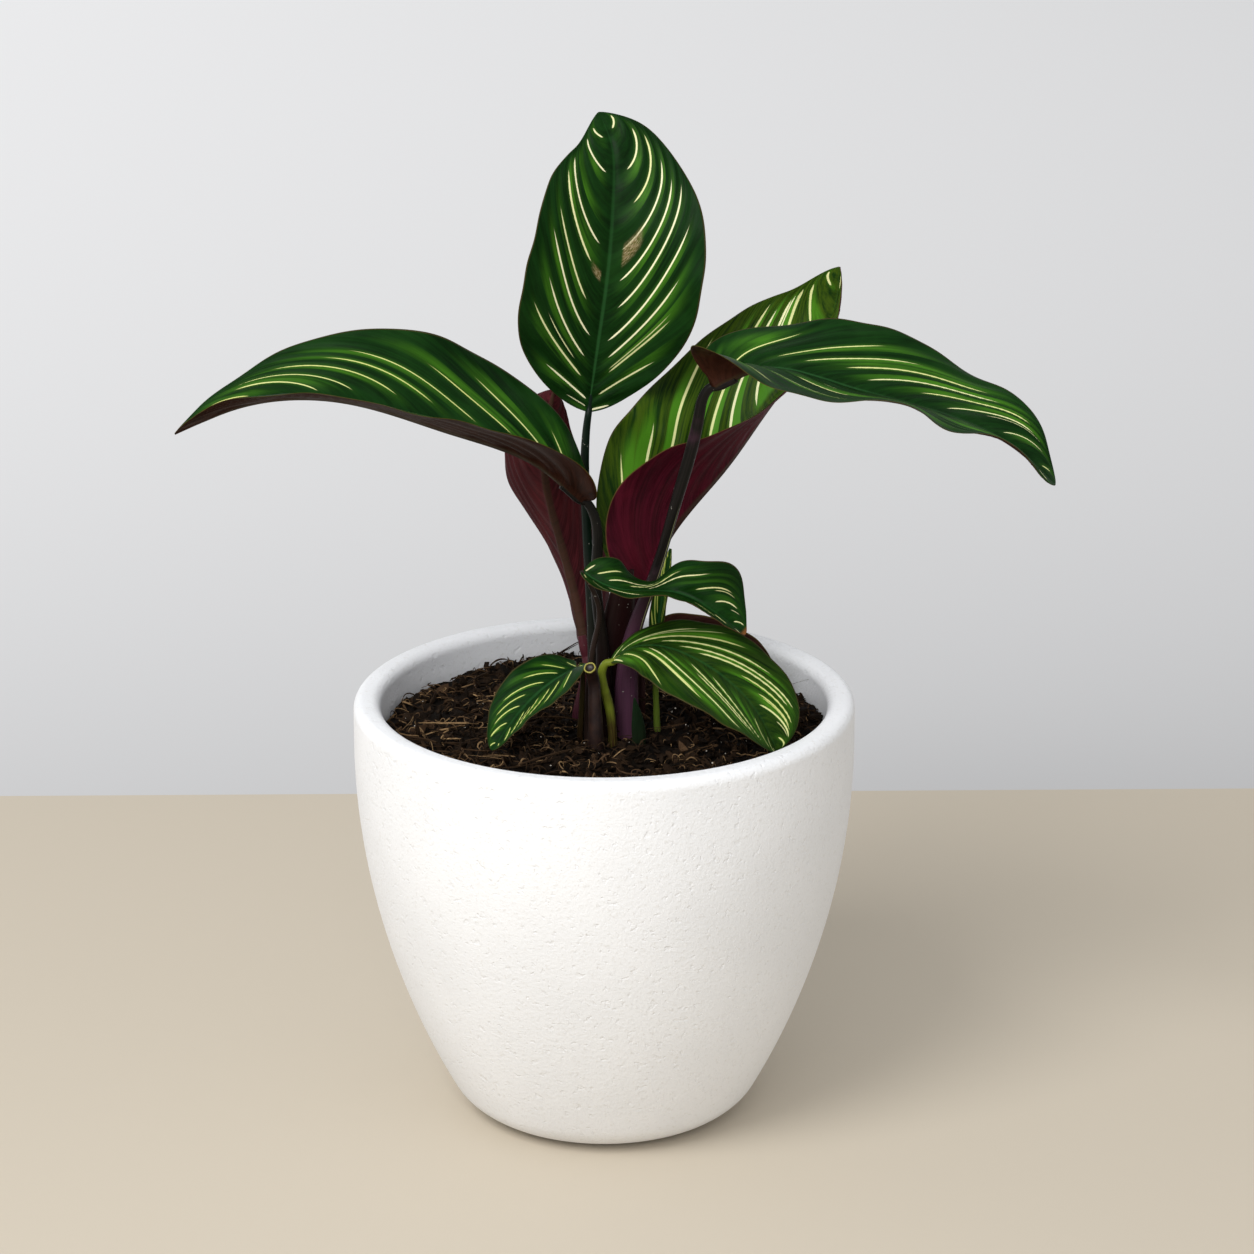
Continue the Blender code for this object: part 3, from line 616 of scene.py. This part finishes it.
def add_blade(name, leaf, look):
    long = np.linalg.norm(np.diff(np.array(leaf["midrib"], float), axis=0), axis=1).sum()
    widest = max(max(leaf["left"]["width"]), max(leaf["right"]["width"]))
    rows = int(np.clip(long * 1.15, 60, 200))
    columns = int(np.clip(widest * 0.75, 12, 32))
    surface, t, q = blade_grid(leaf, rows, columns)
    share = np.abs(q)[None, :]
    origin = vein_origin(t[:, None], share, look.get("sweep", 1.0))
    cells = look["pitch"] * origin**0.62
    pitch = cell_pitch(surface, cells)
    normals = grid_normals(surface)
    half = np.linalg.norm(np.diff(surface[:, columns - 1:], axis=1), axis=2).sum(1)[:, None]
    spread = share * np.maximum(half, 0.01)

    # Pleats between the side veins, a groove along the midrib and a slight wave along the margin.
    small = min(1.0, widest / 38)
    inside = np.clip(share / 0.12, 0, 1) * np.clip((1 - share) / 0.10, 0, 1)
    ends = np.clip(t / 0.06, 0, 1)[:, None] * np.clip((1 - t) / 0.08, 0, 1)[:, None]
    lift = PLEAT * small * np.cos(2 * np.pi * cells) * inside * ends
    lift -= GROOVE * small * np.exp(-(spread / 1.1)**2) * ends
    phase = look["seed"] * 1.3
    sign = np.where(q < 0, 1.7, 0.0)[None, :]
    wave = np.sin(24 * t[:, None] + phase + sign) + 0.6 * np.sin(41 * t[:, None] + 2.1 * phase + sign)
    lift += MARGIN_WAVE * small * share**5 * wave * ends
    lift -= BLADE_SINK
    upper = surface + normals * lift[..., None]

    rib = (1.35 * small + 0.3) * (1 - 0.85 * t)[:, None]
    thick = 0.30 + 0.9 * rib * np.exp(-(spread / np.maximum(rib * 1.05, 0.2))**2)
    thick = thick * np.clip((1 - share) / 0.05, 0.45, 1)
    under = upper - normals * thick[..., None]

    count = 2 * columns - 1
    total = rows * count
    points = in_frame(np.concatenate([upper.reshape(-1, 3), under.reshape(-1, 3)]))
    i, j = np.meshgrid(np.arange(rows - 1), np.arange(count - 1), indexing="ij")
    a = (i * count + j).ravel()
    quads = np.stack([a, a + 1, a + count + 1, a + count], 1)
    border = [*range(count), *(k * count + count - 1 for k in range(1, rows))]
    border += [(rows - 1) * count + k for k in range(count - 2, -1, -1)]
    border = np.array(border + [k * count for k in range(rows - 2, 0, -1)])
    after = np.roll(border, -1)
    rim = np.stack([after, border, total + border, total + after], 1)
    faces = np.concatenate([quads, total + quads[:, ::-1], rim])
    indices = np.concatenate([np.zeros(len(quads)), np.ones(len(quads)), np.ones(len(rim))])
    look = dict(look, half=float(widest) * 0.85)
    made = new_mesh(
        name + "_leaf", points, faces,
        [upper_material(name + "_upper", look), under_material(name + "_under", look)], indices)
    leaf_uv = np.stack(np.broadcast_arrays(t[:, None], q[None, :]), -1).reshape(-1, 2)
    vein_uv = np.stack([cells, pitch], -1).reshape(-1, 2)
    put_uv(made, "leaf", np.tile(leaf_uv, (2, 1)))
    put_uv(made, "veins", np.tile(vein_uv, (2, 1)))
    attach(made, "root")
    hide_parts(name + "_blade")
    return made


# ---------------------------------------------------------------- stems

def stem_material(name, low, high, tint, turn=(0.05, 0.62), edge=None, rough=0.34):
    n = Nodes(name)
    around, up = n.uv("stem")
    lines = n.noise(n.join(n.mul(around, 16.0), n.mul(up, 2.2)), 1.6, 4.0, 0.65)
    cloudy = n.noise(n.place(), 70.0, 3.0)
    colour = n.mix(n.step(up, *turn), low, high)
    colour = n.mix(n.mul(n.step(lines, 0.42, 0.74), 0.55), colour, tint)
    colour = n.mix(n.mul(n.step(cloudy, 0.50, 0.72), 0.4), colour, low)
    if edge:
        # The pale edge of the sheath runs up the stalk.
        beside = n.apart(around, edge[0])
        shown = n.mul(n.step(up, edge[1], edge[1] + 0.04), n.fall(up, edge[2] - 0.10, edge[2]))
        colour = n.mix(n.mul(n.step(beside, 0.010, 0.026, 0.9, 0.0), shown), colour, (0.40, 0.42, 0.20))
    # Pale specks: painted glints of tiny water drops on the skin.
    water_drop_glints = n.step(n.noise(n.place(), 900.0, 1.0), 0.765, 0.785)
    colour = n.mix(n.mul(water_drop_glints, 0.5), colour, (0.50, 0.48, 0.42))
    normal = n.bump(n.plus(lines, n.mul(n.noise(n.place(), 1500.0, 2.0), 0.3)), 0.5, 0.0002)
    return n.finish(colour, rough, normal, Specular_IOR_Level=0.11)


def tube(path, thick, rings, sides, flat=1.0, ridge=0.0):
    """Grid of points of a round stem, and its shares around and along."""
    t = np.linspace(0, 1, rings)
    places, directions, face = follow(path, [(0.3, -1, 0.2), (0.3, -1, 0.2)], t)
    across = np.cross(directions, face)
    radius = along(thick, t)[:, None]
    turn = np.linspace(0, 2 * np.pi, sides, endpoint=False)[None, :]
    bumps = 1 + ridge * np.cos(5 * turn + 2 * t[:, None]) + 0.4 * ridge * np.sin(11 * turn)
    grow = 1 + 0.020 * np.sin(19 * t[:, None] + turn)
    size = radius * bumps * grow
    grid = places[:, None] + across[:, None] * (size * np.cos(turn))[..., None]
    grid = grid + face[:, None] * (size * flat * np.sin(turn))[..., None]
    return grid, t, turn[0] / (2 * np.pi)


def closed_tube(name, grid, t, around, material):
    points = np.concatenate([grid.reshape(-1, 3), [grid[0].mean(0)], [grid[-1].mean(0)]])
    made = closed_rings(name, in_frame(points), grid.shape[1], material, turn=-1)
    # The shares around run up and back down, so that no seam shows.
    fold = 1 - np.abs(2 * around - 1)
    shares = np.stack(np.broadcast_arrays(fold[None, :], t[:, None]), -1).reshape(-1, 2)
    put_uv(made, "stem", np.concatenate([shares, [[0, 0], [0, 1]]]))
    return made


def stem_points(leaf):
    """The stem's way from the soil to the blade, and on under the midrib."""
    start, direction, face = follow(leaf["midrib"], leaf["faces"], np.array([0.0, 0.03, 0.06]))
    foot = np.array([*leaf["stem"][0][:2], FOOT])
    reach = 1.3 * leaf["thick"][-1]
    near = [start[0] - direction[0] * back for back in (reach, reach / 2)]
    into = unit(start[0] - np.array(leaf["stem"][-1], float)) @ direction[0]
    if into < 0.5:
        near = []  # a stalk that meets its blade at an angle bends straight into it
    drop = [start[k] - face[k] * d for k, d in ((0, 0.8), (1, 1.7), (2, 2.1))]
    return [foot, *leaf["stem"][1:], *near, *drop]


# The colour low and high on each stem, that of its fine lines, the shares along between which low
# turns into high, and the pale edge of a sheath: its share around, and its start and end along.
STEM_LOOKS = {
    "upright": ((0.012, 0.006, 0.005), (0.003, 0.010, 0.006), (0.012, 0.022, 0.014)),
    "left": ((0.014, 0.005, 0.005), (0.005, 0.005, 0.004), (0.018, 0.014, 0.010)),
    "right": (
        (0.075, 0.028, 0.052), (0.005, 0.005, 0.004), (0.026, 0.016, 0.018), (0.24, 0.50),
        (0.36, 0.20, 0.66)),
    "wavy": ((0.016, 0.008, 0.007), (0.020, 0.012, 0.010), (0.040, 0.030, 0.020)),
    "low_left": ((0.030, 0.014, 0.006), (0.040, 0.030, 0.010), (0.060, 0.050, 0.016)),
    "cupped": ((0.014, 0.005, 0.005), (0.040, 0.008, 0.014), (0.034, 0.014, 0.012)),
    "rolled": ((0.055, 0.012, 0.022), (0.070, 0.014, 0.020), (0.090, 0.030, 0.034)),
    "low_back": ((0.030, 0.012, 0.010), (0.040, 0.014, 0.014), (0.070, 0.030, 0.024)),
    "low_right": ((0.030, 0.012, 0.006), (0.150, 0.190, 0.016), (0.240, 0.270, 0.036), (0.28, 0.52)),
    "young": ((0.090, 0.130, 0.018), (0.120, 0.200, 0.020), (0.200, 0.260, 0.040)),
}


def add_stem(name, leaf):
    path = stem_points(leaf)
    thick = [*leaf["thick"], leaf["thick"][-1] * 0.92, leaf["thick"][-1] * 0.62]
    grid, t, around = tube(path, thick, 18 * len(path), 28, ridge=0.022)
    material = stem_material(name + "_stem_skin", *STEM_LOOKS[name])
    made = closed_tube(name + "_petiole", grid, t, around, material)
    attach(made, "root")
    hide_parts(name + "_stem")
    return made


# ---------------------------------------------------------------- pot and soil

def belly(height):
    share = 1 - np.minimum(height / BELLY_HEIGHT, 1)
    return BASE_RADIUS + (POT_RADIUS - BASE_RADIUS) * (1 - share**BELLY_ROUND)**(1 / BELLY_SWELL)


def pot_profile():
    low = BASE_ROUND * (1 - np.cos(np.linspace(0, np.pi / 2, 14)))
    high = BASE_ROUND + (BELLY_HEIGHT - BASE_ROUND) * np.linspace(0, 1, 50)[1:]
    z = np.concatenate([low, high])
    down = np.maximum(BASE_ROUND - z, 0)
    outside = np.stack([belly(z) - BASE_ROUND + np.sqrt(BASE_ROUND**2 - down**2), z], 1)
    top = POT_HEIGHT - RIM_ROUND
    turn = np.radians(np.linspace(0, 90, 12))
    outer = np.stack([POT_RADIUS - RIM_ROUND + RIM_ROUND * np.cos(turn), top + RIM_ROUND * np.sin(turn)], 1)
    inner = np.stack([INNER_RADIUS + RIM_ROUND - RIM_ROUND * np.sin(turn), top + RIM_ROUND * np.cos(turn)], 1)
    z = np.linspace(BELLY_HEIGHT, FLOOR, 24)
    inside = np.stack([INNER_RADIUS - POT_RADIUS + belly(z), z], 1)
    return np.concatenate([[[0.002, 0]], outside, outer, inner, inside, [[0.002, FLOOR]]])


def turned(name, profile, sides, material):
    """A closed piece turned about Z from a profile of (radius, height)."""
    angle = np.linspace(0, 2 * np.pi, sides, endpoint=False)
    grid = np.stack([
        profile[:, :1] * np.cos(angle), profile[:, :1] * np.sin(angle),
        np.repeat(profile[:, 1:], sides, axis=1)], -1)
    ends = [[0, 0, profile[0, 1]], [0, 0, profile[-1, 1]]]
    return closed_rings(name, np.concatenate([grid.reshape(-1, 3), ends]), sides, material)


def pot_material():
    n = Nodes("sandy_white")
    place = n.place()
    broad = n.noise(place, 14.0, 3.0)
    grain = n.noise(place, 620.0, 3.0, 0.6)
    pits = n.noise(place, 1250.0, 2.0, 0.5)
    hollow = n.fall(n.noise(place, 340.0, 2.0, 0.5), 0.60, 0.72)
    colour = n.mix(n.step(broad, 0.3, 0.7), (0.845, 0.856, 0.878), (0.898, 0.908, 0.930))
    colour = n.mix(n.step(grain, 0.55, 0.78), colour, (0.78, 0.775, 0.77))
    height = n.plus(n.mul(grain, 0.7), n.plus(n.mul(pits, 0.35), n.mul(hollow, 0.5)))
    normal = n.bump(height, 0.62, 0.00055)
    return n.finish(colour, 0.68, normal, Specular_IOR_Level=0.35)


def earth_material(name, dark, mid, light, share):
    """Brown crumbs: each bit has its own shade, from the number in its UV map."""
    n = Nodes(name)
    own, _ = n.uv("shade")
    place = n.place()
    mottled = n.noise(place, 420.0, 4.0, 0.7)
    shade = n.plus(n.mul(own, 0.75), n.mul(mottled, 0.35))
    colour = n.ramp(shade, (0.0, dark), (0.55, mid), (share, tuple(1.9 * c for c in mid)), (1.0, light))
    height = n.plus(n.noise(place, 900.0, 4.0, 0.7), n.mul(mottled, 0.6))
    normal = n.bump(height, 0.8, 0.0006)
    return n.finish(colour, 0.75, normal, Specular_IOR_Level=0.06)


def soil_height(x, y):
    """Lumpy ground, in millimetres above the middle of the soil."""
    where = Vector((x * 0.055, y * 0.055, 2.7))
    lumps = noise.noise(where) * 2.2 + noise.noise(where * 2.7) * 1.5 + noise.noise(where * 6.5) * 0.8
    lumps += noise.noise(where * 15.0) * 0.5
    return -1.3 + lumps


def add_soil():
    rings, sides = 90, 260
    radius = SOIL_REACH * np.linspace(0, 1, rings + 1)[1:]**0.9
    angle = np.linspace(0, 2 * np.pi, sides, endpoint=False)
    x = radius[:, None] * np.cos(angle)
    y = radius[:, None] * np.sin(angle)
    z = np.vectorize(soil_height)(x, y)
    grid = [np.stack([x, y, z], -1).reshape(-1, 3)]
    for height in (0.150, 0.120, 0.080, 0.045, FLOOR + 0.0005):
        r = 0.995 * (INNER_RADIUS - POT_RADIUS + belly(height)) / UNIT
        low = (height - SOIL_TOP) / UNIT
        grid.append(np.stack([r * np.cos(angle), r * np.sin(angle), np.full(sides, low)], -1))
    points = np.concatenate(grid + [[[0, 0, soil_height(0, 0)], [0, 0, low]]])
    earth = earth_material(
        "soil_bed", (0.0018, 0.0013, 0.0009), (0.0060, 0.0040, 0.0027), (0.030, 0.019, 0.011), 0.8)
    made = closed_rings("soil_bed", in_frame(points), sides, earth, turn=-1)
    shade = np.array([0.35 + 0.4 * noise.noise(Vector(p) * 0.5) for p in points])
    put_uv(made, "shade", np.stack([shade, shade], 1))
    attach(made, "root")
    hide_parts("soil")


STUB_PATH = [(-3, -24.5, FOOT), (-3.5, -24.8, 18), (-4.3, -26, 30), (-5.5, -29.5, 35)]
BRACT_PATH = [(14, -21, FOOT), (13.5, -21.5, 8), (12, -23, 20)]
SHEATH_PATH = [(1.5, -3.5, FOOT), (3.5, -2.5, 26), (6.0, -2.5, 48), (7.5, -3.0, 58), (9, -4, 67)]
STEM_FEET = [leaf["stem"][0][:2] for leaf in LEAVES.values()] + [STUB_PATH[0][:2], BRACT_PATH[0][:2]]


def ground_spots(count, most=86.5):
    """Places on the soil, fewer where the stems stand."""
    out = []
    while len(out) < count:
        r = most * math.sqrt(random.random())
        a = random.random() * 2 * math.pi
        x, y = r * math.cos(a), r * math.sin(a)
        if min(math.hypot(x - fx, y - fy) for fx, fy in STEM_FEET) > 4.5:
            out.append((x, y, soil_height(x, y)))
    return np.array(out)


def turned_axes(count, tilt):
    """Random frames whose third axis leans at most tilt from straight up."""
    lean = tilt * np.sqrt(random.random(count))
    way = random.random(count) * 2 * np.pi
    up = np.stack([np.sin(lean) * np.cos(way), np.sin(lean) * np.sin(way), np.cos(lean)], 1)
    first = random.normal(size=(count, 3))
    first = unit(first - (first * up).sum(1)[:, None] * up)
    return first, np.cross(up, first), up


def merged(name, shapes, faces, shades, material, smooth):
    """One piece from many copies of a shape: shapes is copies by points by 3."""
    copies, each = shapes.shape[:2]
    points = in_frame(shapes.reshape(-1, 3))
    index = (np.arange(copies)[:, None, None] * each + np.asarray(faces)[None]).reshape(-1, len(faces[0]))
    made = new_mesh(name, points, index, [material])
    if not smooth:
        made.data.shade_flat()
    shade = np.repeat(shades, each)
    put_uv(made, "shade", np.stack([shade, shade], 1))
    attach(made, "root")
    return made


def flake_shapes(spots, length, width, depth, tilt, jitter, sunk):
    """Rough flakes: a ring of eight points between a ragged top and bottom."""
    count = len(spots)
    a, b, up = turned_axes(count, tilt)
    around = np.linspace(0, 2 * np.pi, 8, endpoint=False)
    levels = [(0.55, -0.5), (1.0, -0.1), (0.90, 0.28), (0.45, 0.5)]
    rings = []
    bend = None
    for share, height in levels:
        for angle in around:
            u = share * np.cos(angle) * length / 2 * (1 + jitter * random.normal(size=count))
            v = share * np.sin(angle) * width / 2 * (1 + jitter * random.normal(size=count))
            w = (height + 0.35 * jitter * random.normal(size=count)) * depth
            if bend is None:
                bend = random.normal(size=count) * 0.9
            w = w + 0.22 * length * (u / length * 2)**2 * bend
            rings.append(a * u[:, None] + b * v[:, None] + up * w[:, None])
    for height in (-0.5, 0.5):
        rings.append(up * (height * depth)[:, None])
    shape = np.stack(rings, 1) + spots[:, None]
    shape[:, :, 2] += (depth * (0.5 - sunk))[:, None]
    return shape


def ring_triangles(rings, sides):
    faces = []
    for level in range(rings - 1):
        for k in range(sides):
            a, b = level * sides + k, level * sides + (k + 1) % sides
            faces += [(a, b, b + sides), (a, b + sides, a + sides)]
    return faces


def flake_faces():
    faces = ring_triangles(4, 8)
    for k in range(8):
        m = (k + 1) % 8
        faces += [(32, m, k), (33, 24 + k, 24 + m)]
    return faces


def fibre_shapes(spots, length, thick, curl, lift, steps=8, sides=4):
    """Curved fibres, thinner at their ends, lying on the ground or arching out of it."""
    count = len(spots)
    a, b, up = turned_axes(count, 0.35)
    s = np.linspace(-0.5, 0.5, steps)
    turn = curl * random.normal(size=count)
    twist = curl * 0.5 * random.normal(size=count)
    rise = lift * random.random(count)
    out = []
    for share in s:
        angle = turn * share + twist * share * share * 2
        straight = np.abs(turn) < 0.2
        bent = length * np.sin(np.clip(angle, -2.6, 2.6)) / np.where(straight, 1, turn)
        along_a = np.where(straight, length * share, bent)
        along_b = length * (1 - np.cos(angle)) / np.maximum(np.abs(turn), 0.4)
        height = rise * (1 - (2 * share)**2) + 0.15
        centre = a * along_a[:, None] + b * along_b[:, None] + up * height[:, None]
        radius = thick * (0.35 + 0.65 * (1 - (2 * abs(share))**3))
        for m in range(sides):
            way = 2 * np.pi * m / sides
            out.append(centre + (b * np.cos(way) + up * np.sin(way)) * radius[:, None])
    return np.stack(out, 1) + spots[:, None]


def fibre_faces(steps=8, sides=4):
    end = (steps - 1) * sides
    ends = [(0, 2, 1), (0, 3, 2), (end, end + 1, end + 2), (end, end + 2, end + 3)]
    return ring_triangles(steps, sides) + ends


def in_wall(shape, most=SOIL_REACH + 0.1):
    """Keeps bits off the pot's wall by drawing them in a little."""
    out = np.hypot(shape[..., 0], shape[..., 1])
    far = out.max(axis=1, keepdims=True)
    scale = 1 - np.maximum(far - most, 0) / np.maximum(out.mean(axis=1, keepdims=True), 1)
    shape[..., :2] *= scale[..., None]
    return shape


def spread(count, low, more, power=1):
    """Random numbers from low to low + more, crowded near low where the power is over 1."""
    return low + more * random.random(count)**power


def add_flakes(name, count, sizes, widths, depths, lie, shades, material):
    """Bark: lie gives the greatest tilt, the roughness and the share that is sunk."""
    spots = ground_spots(count)
    size = spread(count, *sizes)
    width = size * spread(count, *widths)
    depth = size * spread(count, *depths)
    shape = flake_shapes(spots, size, width, depth, *lie)
    merged(name, in_wall(shape), flake_faces(), spread(count, *shades), material, False)


def add_crumbs():
    bark = earth_material(
        "bark", (0.0020, 0.0014, 0.0009), (0.013, 0.0078, 0.0046), (0.12, 0.068, 0.034), 0.78)
    add_flakes(
        "soil_flakes", 2300, (2.2, 4.4, 1.6), (0.35, 0.5), (0.14, 0.2), (0.95, 0.16, 0.15),
        (0.10, 0.62, 2.0), bark)
    chip = earth_material(
        "bark_chip", (0.0030, 0.0018, 0.0011), (0.026, 0.0145, 0.0078), (0.240, 0.140, 0.070), 0.74)
    add_flakes(
        "soil_chips", 420, (4.5, 5.0, 1.5), (0.25, 0.3), (0.08, 0.10), (1.15, 0.14, -0.25),
        (0.16, 0.66, 1.7), chip)
    fibres = 1500
    spots = ground_spots(fibres)
    spots[:, 2] += 0.9
    length = spread(fibres, 3.0, 9.0, 1.5)
    shape = fibre_shapes(spots, length, spread(fibres, 0.15, 0.34, 2), 2.6, 3.2)
    coir = earth_material(
        "coir", (0.0045, 0.0028, 0.0016), (0.046, 0.0260, 0.0135), (0.440, 0.280, 0.135), 0.66)
    merged("soil_fibres", in_wall(shape), fibre_faces(), spread(fibres, 0.15, 0.80, 1.6), coir, True)
    crumbs = 90
    spots = ground_spots(crumbs)
    spots[:, 2] += 1.6
    size = spread(crumbs, 0.35, 0.5, 2)
    shape = flake_shapes(spots, size, size * 0.8, size * 0.7, 1.5, 0.2, 0.0)
    perlite = earth_material("perlite", (0.30, 0.27, 0.22), (0.42, 0.39, 0.34), (0.62, 0.58, 0.52), 0.85)
    merged("soil_perlite", in_wall(shape), flake_faces(), spread(crumbs, 0.5, 0.5), perlite, True)


def add_stub():
    """The cut stalk at the front of the clump: a pale ring round a dark, dished end."""
    grid, t, around = tube(STUB_PATH, [3.6, 3.0, 2.5, 2.4], 60, 32, ridge=0.02)
    middle = grid[-1].mean(0)
    ahead = unit(middle - grid[-2].mean(0))
    lips = [(0.97, 0.12), (0.90, 0.22), (0.80, 0.16), (0.72, -0.25), (0.55, -0.70), (0.25, -0.85)]
    rings = [middle + (grid[-1] - middle) * share + ahead * out for share, out in lips]
    grid = np.concatenate([grid, np.stack(rings)])
    t = np.concatenate([t * 0.9, 0.93 + 0.06 * np.linspace(0, 1, len(lips))])
    n = Nodes("stub_skin")
    _, up = n.uv("stem")
    lines = n.noise(n.place(), 260.0, 3.0)
    colour = n.mix(n.step(lines, 0.35, 0.7), (0.012, 0.005, 0.004), (0.032, 0.013, 0.008))
    colour = n.mix(n.step(up, 0.885, 0.905), colour, (0.34, 0.30, 0.050))
    colour = n.mix(n.step(up, 0.950, 0.966), colour, (0.014, 0.008, 0.005))
    material = n.finish(colour, 0.45, n.bump(lines, 0.5, 0.0003))
    made = closed_tube("stub", grid, t, around, material)
    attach(made, "root")
    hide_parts("cut_stub")


def add_sheath():
    """The brown sheath that wraps the left stalk's foot and closes the middle of the clump."""
    grid, t, around = tube(SHEATH_PATH, [3.6, 4.8, 6.8, 6.2, 3.0], 64, 28, flat=0.35, ridge=0.03)
    material = stem_material(
        "sheath_skin", (0.010, 0.004, 0.0032), (0.016, 0.005, 0.005), (0.024, 0.010, 0.010))
    made = closed_tube("sheath", grid, t, around, material)
    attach(made, "root")


def add_bract():
    grid, t, around = tube(BRACT_PATH, [2.0, 2.8, 0.35], 44, 24, flat=0.35, ridge=0.02)
    material = stem_material(
        "bract_skin", (0.008, 0.010, 0.005), (0.006, 0.018, 0.006), (0.016, 0.036, 0.012), rough=0.5)
    made = closed_tube("bract_leaf", grid, t, around, material)
    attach(made, "root")
    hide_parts("bract")


# ---------------------------------------------------------------- the stage

# The line where the floor turns into the wall: how far behind the pot's axis it runs, and its slope.
WALL_LINE = 0.3457
WALL_SLOPE = 0.0168


def stage_floor():
    """A pale floor. Behind the pot it turns into the light grey of a wall, which glows with painted light."""
    mesh = bpy.data.meshes.new("floor")
    size = 14.0
    corners = [(-size, -size, 0), (size, -size, 0), (size, size, 0), (-size, size, 0)]
    mesh.from_pydata(corners, [], [(0, 1, 2, 3)])
    floor = link("floor", mesh)
    n = Nodes("floor")
    split = n.add("ShaderNodeSeparateXYZ")
    n.put(split.inputs[0], n.place())
    level_line = n.plus(split.outputs["Y"], n.mul(split.outputs["X"], -WALL_SLOPE))
    back = n.math("GREATER_THAN", level_line, WALL_LINE)
    grain = n.noise(n.place(), 3.0, 3.0)
    sand = n.mix(n.mul(grain, 0.25), (0.585, 0.522, 0.428), (0.548, 0.485, 0.395))
    # The wall glows with painted light, brighter higher up and to the left.
    far = n.math("EXPONENT", n.mul(n.minus(split.outputs["Y"], 0.477), -1.65))
    level = n.minus(n.minus(0.525, n.mul(far, 0.235)), n.mul(split.outputs["X"], 0.12))
    painted_wall_light = n.join(level, level, n.mul(level, 1.008))
    painted_wall_light = n.mix(back, (0.0, 0.0, 0.0), painted_wall_light)
    colour = n.mix(back, sand, (0.33, 0.33, 0.335))
    n.put(n.shader.inputs["Emission Color"], painted_wall_light)
    n.shader.inputs["Emission Strength"].default_value = 1.0
    mesh.materials.append(n.finish(colour, 0.85, Specular_IOR_Level=0.1))


def light(name, place, target, size, power, colour=(1, 1, 1)):
    data = bpy.data.lights.new(name, "AREA")
    data.shape = "DISK"
    data.size = size
    data.energy = power
    data.color = colour
    made = link(name, data)
    made.location = place
    made.rotation_euler = (Vector(target) - Vector(place)).to_track_quat("-Z", "Y").to_euler()


CAMERA_PLACE = (0.0091, -1.70, 0.789)
CAMERA_TILT = 71
LENS = 130


def set_scene():
    stage_floor()
    scene = bpy.context.scene
    world = bpy.data.worlds.new("studio")
    scene.world = world
    world.use_nodes = True
    background = world.node_tree.nodes["Background"]
    background.inputs["Color"].default_value = (0.98, 0.99, 1.0, 1)
    background.inputs["Strength"].default_value = 0.64
    light("key", (-0.95, -1.28, 1.80), (0, 0, 0.18), 1.15, 33.0, (1.0, 0.995, 0.985))
    light("front", (-0.4, -2.4, 1.5), (0, 0, 0.2), 1.4, 14.0)
    scene.view_settings.view_transform = "Standard"
    camera = link("camera", bpy.data.cameras.new("camera"))
    camera.data.lens = LENS
    camera.data.sensor_width = 36
    camera.data.clip_end = 50
    camera.location = CAMERA_PLACE
    camera.rotation_euler = (math.radians(CAMERA_TILT), 0, 0)
    scene.camera = camera


for name, leaf in LEAVES.items():
    add_blade(name, leaf, LOOKS[name])
    add_stem(name, leaf)
add_stub()
add_sheath()
add_bract()
planter = turned("planter", pot_profile(), 200, pot_material())
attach(planter, "root")
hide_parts("pot")
add_soil()
add_crumbs()
set_scene()
